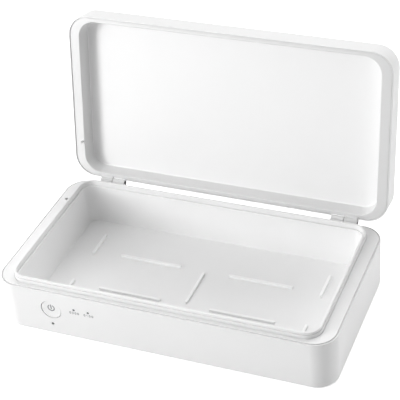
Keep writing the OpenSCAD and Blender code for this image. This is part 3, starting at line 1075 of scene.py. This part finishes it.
@dataclass
class LidLiner:
    """The lid's flange, hollow and ceiling, with the peg and the outer hinge barrels."""

    shape: Shape
    edge: float = 0.25
    set_back: float = 0.45
    groove_d: float = 0.45
    mouth_edge: float = 0.6
    slope: float = 0.6
    bend: float = 1.0
    panel_t: float = 1.2
    panel_band: float = 0.4
    peg_r: float = 0.8
    peg_l: float = 3.0
    peg_root: float = 0.5
    peg_edge: float = 0.35
    heel_l: float = 4.6
    heel_gap: float = 0.2
    heel_side: float = 0.5
    heel_back: float = 0.8
    brow_side: float = 0.2
    brow_back: float = 0.5

    def skin(self) -> Part:
        """Back of the ceiling, flange, mouth, walls and ceiling of the hollow.

        Returns:
            The points and faces.
        """
        s = self.shape
        ceiling, flange_top = s.rim_z + s.cavity_depth, s.rim_z + s.flange_t
        face = s.rim_z + self.set_back
        loft = Loft()
        r = self.bend + self.panel_t
        centre = (self.panel_t - self.slope - r, ceiling + self.panel_t - r)
        loft.bend(s.cavity, centre, r, 90, 0)
        loft.at(s.cavity, self.panel_t, flange_top)
        fill = s.groove_w - s.hair
        loft.at(s.flange, fill, flange_top)
        loft.at(s.flange, fill, face + self.groove_d)
        loft.at(s.flange, 0, face + self.groove_d)
        loft.bend(s.flange, (-self.edge, face + self.edge), self.edge, 0, -90, EDGE_STEPS)
        r = self.mouth_edge
        loft.bend(s.cavity, (r, s.rim_z + r), r, 270, 180, MOUTH_STEPS)
        r = self.bend
        loft.bend(s.cavity, (-self.slope - r, ceiling - r), r, 0, 90, FILLET_STEPS)
        return loft.solid()

    def fittings(self) -> list[Part]:
        """Peg, brows, outer barrels, their arms and the stop heels, in their open place.

        Returns:
            The points and faces of each.
        """
        s = self.shape
        turn = s.opened()
        flange_top = s.rim_z + s.flange_t
        peg = rod(s.rim_z - self.peg_l, s.rim_z + self.peg_root, self.peg_r, (*s.peg, 0), Z_AXIS,
                  self.peg_edge)
        parts = [moved(peg, turn)]
        for x0, x1 in s.hinge_spans(outer=False):
            low = (x0 - self.brow_side, s.flange.half_y - s.arm_root, s.rim_z + self.brow_back)
            high = (x1 + self.brow_side, s.flange.half_y + s.groove_w - s.hair, flange_top)
            parts.append(moved(block(low, high), turn))
        for x0, x1 in s.hinge_spans(outer=True):
            parts.append(s.barrel(x0, x1, open_inwards=False))
            parts.append(moved(s.arm(x0, x1, s.rim_z, flange_top), turn))
            low = (x0 + self.heel_side, s.body.half_y + self.heel_gap, s.axis_z - self.heel_l)
            high = (x1 - self.heel_side, s.axis_y + self.heel_back, s.axis_z)
            parts.append(block(low, high))
        return parts

    def build(self) -> None:
        """Makes the piece and dresses it, with painted shade on the flange and walls and painted
        light on the ceiling.
        """
        s = self.shape
        parts = [moved(self.skin(), s.opened())] + self.fittings()
        piece = linked(mesh_of("lid_liner_skin", parts))
        smooth(piece)
        dressed(piece, WHITE_PAINTED_SHADE)
        piece.data.materials.append(CEILING_PAINTED_LIGHT.material())
        shut = s.opened().inverted()
        ceiling = s.rim_z + s.cavity_depth
        # Painted light and shade: the ceiling takes the bright white, the flange and walls keep
        # the dark one that stands in for the shade on them.
        for face in piece.data.polygons:
            if abs((shut @ (face.center / MM)).z - ceiling) < self.panel_band:
                face.material_index = 1
        settled(piece, Body.LID, ["lid_liner"])


@dataclass
class HingePins:
    """The two pins, with flat near-black heads sunk in the barrels' ends as painted shade in the
    recesses.
    """

    shape: Shape
    radius: float = 1.0
    head_r: float = 1.93
    head_t: float = 1.1
    sunk: float = 0.35

    def build(self) -> None:
        """Makes and dresses the pins."""
        s = self.shape
        x0 = s.hinge_in + self.sunk
        x1 = s.hinge_in + 2 * s.barrel_l + s.hinge_gap - self.sunk
        a, b = x0 + self.head_t, x1 - self.head_t
        profile = [(x0, self.head_r), (a, self.head_r), (a, self.radius),
                   (b, self.radius), (b, self.head_r), (x1, self.head_r)]
        for side, name in ((-1, "left"), (1, "right")):
            part = turned(profile, (0, s.axis_y, s.axis_z), X_AXIS * side)
            piece = linked(mesh_of(f"pin_{name}", [part]))
            smooth(piece)
            # The near-black heads stand in for the shade deep in the recesses.
            dressed(piece, PIN_PAINTED_SHADE)
            settled(piece, Body.BASE, [f"hinge_pin_{name}"])


# ---- button and marks ----


@dataclass
class PowerButton:
    """The round button: a rim, a shallow dish and the on/off sign in grey."""

    shape: Shape
    radius: float = 6.72
    face_y: float = -56.45
    back_y: float = -54.75
    edge: float = 0.5
    collar_t: float = 0.6
    collar_w: float = 0.75
    dish: float = 0.25
    dish_rim: float = 0.2
    dish_steps: int = 8
    hub_r: float = 0.02
    sharp: float = 30.0
    sign_r: float = 2.15
    sign_w: float = 0.7
    sign_up: float = 1.2
    sign_gap: float = 27.0
    sign_steps: int = 40
    sign_margin: float = 0.5
    sign_sunk: float = 0.1
    sign_proud: float = 0.03
    bar_below: float = 1.0
    bar_above: float = 0.45

    @property
    def dish_r(self) -> float:
        """Radius of the dish."""
        return self.radius - self.edge - self.dish_rim

    def cap(self) -> Part:
        """The turned button: dish, rounded rim, side and collar.

        Returns:
            The points and faces.
        """
        x, z = self.shape.button
        e = self.edge
        profile = []
        for i in range(self.dish_steps + 1):
            t = i / self.dish_steps
            depth = self.dish * (1 - t * t)
            profile.append((self.face_y + depth, max(t * self.dish_r, self.hub_r)))
        for i in range(BEND_STEPS + 1):
            angle = math.radians(90 * i / BEND_STEPS)
            profile.append((self.face_y + e - e * math.cos(angle),
                            self.radius - e + e * math.sin(angle)))
        collar_y, collar_r = self.back_y - self.collar_t, self.radius + self.collar_w
        profile += [(collar_y, self.radius), (collar_y, collar_r), (self.back_y, collar_r)]
        return turned(profile, (x, 0, z), Y_AXIS, BUTTON_SIDES)

    def sign(self) -> list[Part]:
        """The broken ring and the bar, as thin prints on the dish.

        Returns:
            The points and faces of both.
        """
        x, z = self.shape.button
        z += self.sign_up
        reach = (self.sign_up + self.sign_r + self.sign_margin) / self.dish_r
        y0 = self.face_y + self.dish + self.sign_sunk
        y1 = self.face_y + self.dish * (1 - reach * reach) - self.sign_proud
        w, steps = self.sign_w / 2, self.sign_steps
        inner, outer = self.sign_r - w, self.sign_r + w
        section = ((inner, y0), (outer, y0), (outer, y1), (inner, y1))
        points: list[Point] = []
        for i in range(steps + 1):
            turn = self.sign_gap + (360 - 2 * self.sign_gap) * i / steps
            angle = math.radians(90 + turn)
            points += [(x + r * math.cos(angle), y, z + r * math.sin(angle)) for r, y in section]
        bar = block((x - w, y1, z - self.bar_below), (x + w, y0, z + self.sign_r + self.bar_above))
        return [(points, bands(4, steps) + caps(4, 4 * steps)), bar]

    def build(self) -> None:
        """Makes and dresses the button and its sign."""
        piece = linked(mesh_of("button_cap", [self.cap()]))
        smooth(piece, self.sharp)
        dressed(piece, BUTTON)
        settled(piece, Body.BUTTON, ["power_button"])
        sign = linked(mesh_of("button_sign", self.sign()))
        dressed(sign, PRINT)
        settled(sign, Body.BUTTON)


@dataclass
class LampMarks:
    """Plain numbers printed under the two lamps, the seconds that each stands for."""

    shape: Shape
    words: tuple[str, ...] = ("0300", "0600")
    drop: float = 2.5
    height: float = 1.8
    size_factor: float = 1.4
    thickness: float = 0.02
    boldness: float = 0.07
    spacing: float = 1.4

    def number(self, name: str, word: str) -> bpy.types.Mesh:
        """A flat number round its own middle.

        Args:
            name: Name of the mesh.
            word: The digits.

        Returns:
            The mesh.
        """
        curve = bpy.data.curves.new(name, "FONT")
        curve.body = word
        curve.size = self.height * MM * self.size_factor
        curve.align_x = "CENTER"
        curve.align_y = "CENTER"
        curve.extrude = self.thickness * MM
        curve.offset = self.boldness * MM
        curve.space_character = self.spacing
        text = bpy.data.objects.new(name, curve)
        bpy.context.scene.collection.objects.link(text)
        bpy.context.view_layer.update()
        graph = bpy.context.evaluated_depsgraph_get()
        mesh = bpy.data.meshes.new_from_object(text.evaluated_get(graph))
        bpy.data.objects.remove(text)
        mesh.name = name
        return mesh

    def build(self) -> None:
        """Makes the numbers as thin prints on the drafted wall."""
        s = self.shape
        lean = math.atan(s.draft / s.base_h)
        for index, ((x, lamp_z), word) in enumerate(zip(s.lamps, self.words)):
            mesh = self.number(f"lamp_number_{index}", word)
            z = lamp_z - self.drop
            place = Matrix.Translation((x * MM, s.front_y(z) * MM, z * MM))
            mesh.transform(place @ Matrix.Rotation(math.radians(90) + lean, 4, "X"))
            piece = linked(mesh)
            dressed(piece, PRINT)
            settled(piece, Body.BASE)


# ---- stage, light and camera ----


@dataclass
class Stage:
    """The pale floor and the white surroundings."""

    floor_z: float = -1.0
    half: float = 6000.0
    floor_colour: float = 0.8
    floor_glow: float = 0.75
    ambient: float = 0.1
    white: float = 1.0

    def build(self) -> None:
        """Makes the floor and the world."""
        h, z = self.half, self.floor_z
        corners = [(-h, -h, z), (h, -h, z), (h, h, z), (-h, h, z)]
        floor = linked(mesh_of("floor", [(corners, [[0, 1, 2, 3]])]))
        floor.data.materials.append(self.floor_material())
        self.world()

    def floor_material(self) -> bpy.types.Material:
        """White where it is seen, with the object's shadow kept.

        Returns:
            The material.
        """
        material = bpy.data.materials.new("floor_white")
        material.use_nodes = True
        tree = material.node_tree
        tree.nodes.clear()
        diffuse = tree.nodes.new("ShaderNodeBsdfDiffuse")
        diffuse.inputs["Color"].default_value = (*grey(self.floor_colour), 1)
        glow = tree.nodes.new("ShaderNodeEmission")
        glow.inputs["Color"].default_value = (1, 1, 1, 1)
        glow.inputs["Strength"].default_value = self.floor_glow
        both = tree.nodes.new("ShaderNodeAddShader")
        tree.links.new(diffuse.outputs[0], both.inputs[0])
        tree.links.new(glow.outputs[0], both.inputs[1])
        out = tree.nodes.new("ShaderNodeOutputMaterial")
        tree.links.new(where_seen(tree, both, diffuse), out.inputs["Surface"])
        return material

    def world(self) -> None:
        """Plain grey light all round, white where it is seen."""
        world = bpy.data.worlds.new("surroundings")
        bpy.context.scene.world = world
        world.use_nodes = True
        tree = world.node_tree
        tree.nodes.clear()
        light, white = (tree.nodes.new("ShaderNodeBackground") for _ in range(2))
        for background, strength in ((light, self.ambient), (white, self.white)):
            background.inputs["Color"].default_value = (1, 1, 1, 1)
            background.inputs["Strength"].default_value = strength
        out = tree.nodes.new("ShaderNodeOutputWorld")
        tree.links.new(where_seen(tree, white, light), out.inputs["Surface"])


def where_seen(tree: bpy.types.NodeTree, seen: bpy.types.Node,
               other: bpy.types.Node) -> bpy.types.NodeSocket:
    """Mixes two shaders by the kind of ray.

    Args:
        tree: The tree of a material or a world.
        seen: The shader for camera, glossy and transmission rays.
        other: The shader for the light that falls on the object.

    Returns:
        The mix's output.
    """
    path = tree.nodes.new("ShaderNodeLightPath")
    factor = path.outputs["Is Camera Ray"]
    for ray in ("Is Glossy Ray", "Is Transmission Ray"):
        either = tree.nodes.new("ShaderNodeMath")
        either.operation = "MAXIMUM"
        tree.links.new(factor, either.inputs[0])
        tree.links.new(path.outputs[ray], either.inputs[1])
        factor = either.outputs[0]
    mix = tree.nodes.new("ShaderNodeMixShader")
    tree.links.new(factor, mix.inputs["Fac"])
    tree.links.new(other.outputs[0], mix.inputs[1])
    tree.links.new(seen.outputs[0], mix.inputs[2])
    return mix.outputs[0]


@dataclass(frozen=True)
class SoftBox:
    """A square area lamp."""

    name: str
    place: Point
    side: float
    watts: float
    aim: Point = (0, 0, 30)

    def build(self) -> None:
        """Hangs the lamp."""
        lamp = bpy.data.lights.new(self.name, "AREA")
        lamp.shape = "SQUARE"
        lamp.size = self.side * MM
        lamp.energy = self.watts
        holder = bpy.data.objects.new(self.name, lamp)
        place = Vector(self.place) * MM
        holder.location = place
        holder.rotation_euler = (Vector(self.aim) * MM - place).to_track_quat("-Z", "Y").to_euler()
        bpy.context.scene.collection.objects.link(holder)


SOFT_BOXES = (
    SoftBox("left_front_box", (-1000, -1000, 400), 400, 9.0),
    SoftBox("left_front_high_box", (-650, -650, 600), 300, 2.7),
    SoftBox("left_low_box", (-850, -350, 150), 350, 0.5),
    SoftBox("left_top_box", (-450, -450, 850), 500, 1.5),
    SoftBox("left_back_box", (-300, 500, 700), 400, 1.1),
    SoftBox("back_top_box", (0, 650, 800), 500, 2.0),
    SoftBox("right_back_box", (250, 450, 750), 350, 1.5),
    SoftBox("top_box", (0, 0, 950), 600, 1.4),
    SoftBox("right_front_box", (500, -900, 250), 350, 0.5),
    SoftBox("right_low_box", (850, 250, 120), 350, 2.4),
)


@dataclass(frozen=True)
class Viewpoint:
    """The camera: direction, roll, distance, and where its axis meets the 400 by 400 frame."""

    azimuth: float = 23.029
    elevation: float = 33.403
    roll: float = -4.745
    aim: Point = (0.0, 0.0, 60.0)
    slide: tuple[float, float] = (-38.568, -56.632)
    distance: float = 802.6
    frame_px: float = 400.0
    focal_px: float = 1307.0
    axis_px: tuple[float, float] = (250.0, 130.0)
    sensor: float = 36.0
    clip_m: tuple[float, float] = (0.01, 50.0)

    def build(self) -> None:
        """Sets up the camera."""
        az, el, roll = (math.radians(a) for a in (self.azimuth, self.elevation, self.roll))
        back = Vector((math.sin(az) * math.cos(el), -math.cos(az) * math.cos(el), math.sin(el)))
        right = (-back).cross(Z_AXIS).normalized()
        up = right.cross(-back)
        x_axis = right * math.cos(roll) + up * math.sin(roll)
        y_axis = -right * math.sin(roll) + up * math.cos(roll)
        place = Vector(self.aim) + back * self.distance
        place -= x_axis * self.slide[0] + y_axis * self.slide[1]
        lens = bpy.data.cameras.new("viewpoint")
        lens.sensor_width = self.sensor
        lens.lens = self.focal_px / self.frame_px * self.sensor
        middle = self.frame_px / 2
        lens.shift_x = -(self.axis_px[0] - middle) / self.frame_px
        lens.shift_y = (self.axis_px[1] - middle) / self.frame_px
        lens.clip_start, lens.clip_end = self.clip_m
        camera = bpy.data.objects.new("viewpoint", lens)
        turn = Matrix((x_axis, y_axis, back)).transposed().to_4x4()
        camera.matrix_world = Matrix.Translation(place * MM) @ turn
        bpy.context.scene.collection.objects.link(camera)
        bpy.context.scene.camera = camera


def dress_nodes() -> None:
    """Gives every node of the frame that still shows its finish, and reports it."""
    for name, finish in NODE_FINISHES.items():
        dressed(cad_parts[name], finish)
        log.info("%s: %s", name, finish.name)


def main() -> None:
    """Builds the camera, the pieces, the stage and the lamps."""
    logging.basicConfig(level=logging.INFO, format="%(message)s")
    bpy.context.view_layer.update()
    bpy.context.scene.view_settings.view_transform = "Standard"
    Viewpoint().build()
    shape = Shape()
    for kind in (BaseShell, TopFrame, TubLiner, LidShell, LidLiner, HingePins, PowerButton,
                 LampMarks):
        kind(shape).build()
    dress_nodes()
    Stage().build()
    for box in SOFT_BOXES:
        box.build()


if __name__ == "__main__":
    main()
